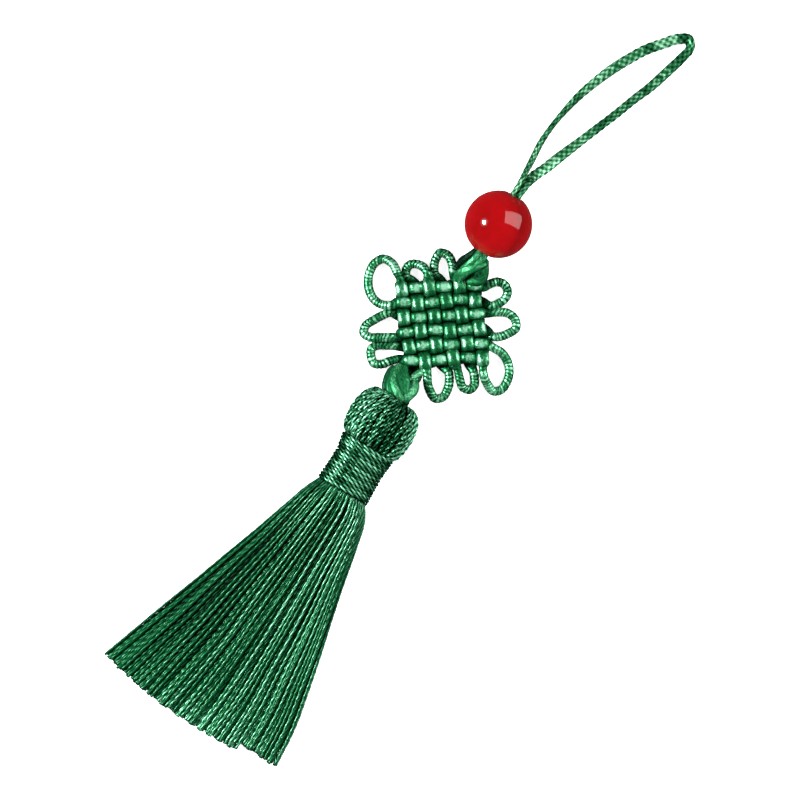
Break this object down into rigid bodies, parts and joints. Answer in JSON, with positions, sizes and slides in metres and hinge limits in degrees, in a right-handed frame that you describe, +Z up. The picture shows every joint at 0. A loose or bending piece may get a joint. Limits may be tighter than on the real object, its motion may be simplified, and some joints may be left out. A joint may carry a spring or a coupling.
{
  "type": "chinese knot tassel pendant",
  "caption": "Small hanging ornament: a flat cord loop, a round glossy bead, a woven diamond knot with eared edges and a bound silk tassel, lying face up.",
  "frame": {"origin": "middle of the bounding box's bottom face, without the hanging loop, on the surface that the pendant lies on", "axes": "+Y along the pendant from the tassel's hem to the hanging loop, +X to the right seen from above, +Z up from the surface"},
  "size_m": [0.035, 0.1257, 0.01],
  "materials": {
    "satin_cord": "satin viscose knotting cord",
    "loop_cord": "flat braided satin cord",
    "tassel_thread": "twisted silky thread",
    "bead_red": "glossy moulded resin"
  },
  "bodies": {
    "root": {"hanging_loop": "loop_cord", "bead": "bead_red", "upper_knot": "satin_cord", "knot_cord_a": "satin_cord", "knot_cord_b": "satin_cord", "row_ring": "satin_cord", "left_column_ring": "satin_cord", "right_column_ring": "satin_cord", "lower_knot": "satin_cord", "tassel": "tassel_thread", "neck_binding": "tassel_thread"}
  },
  "joints": []
}
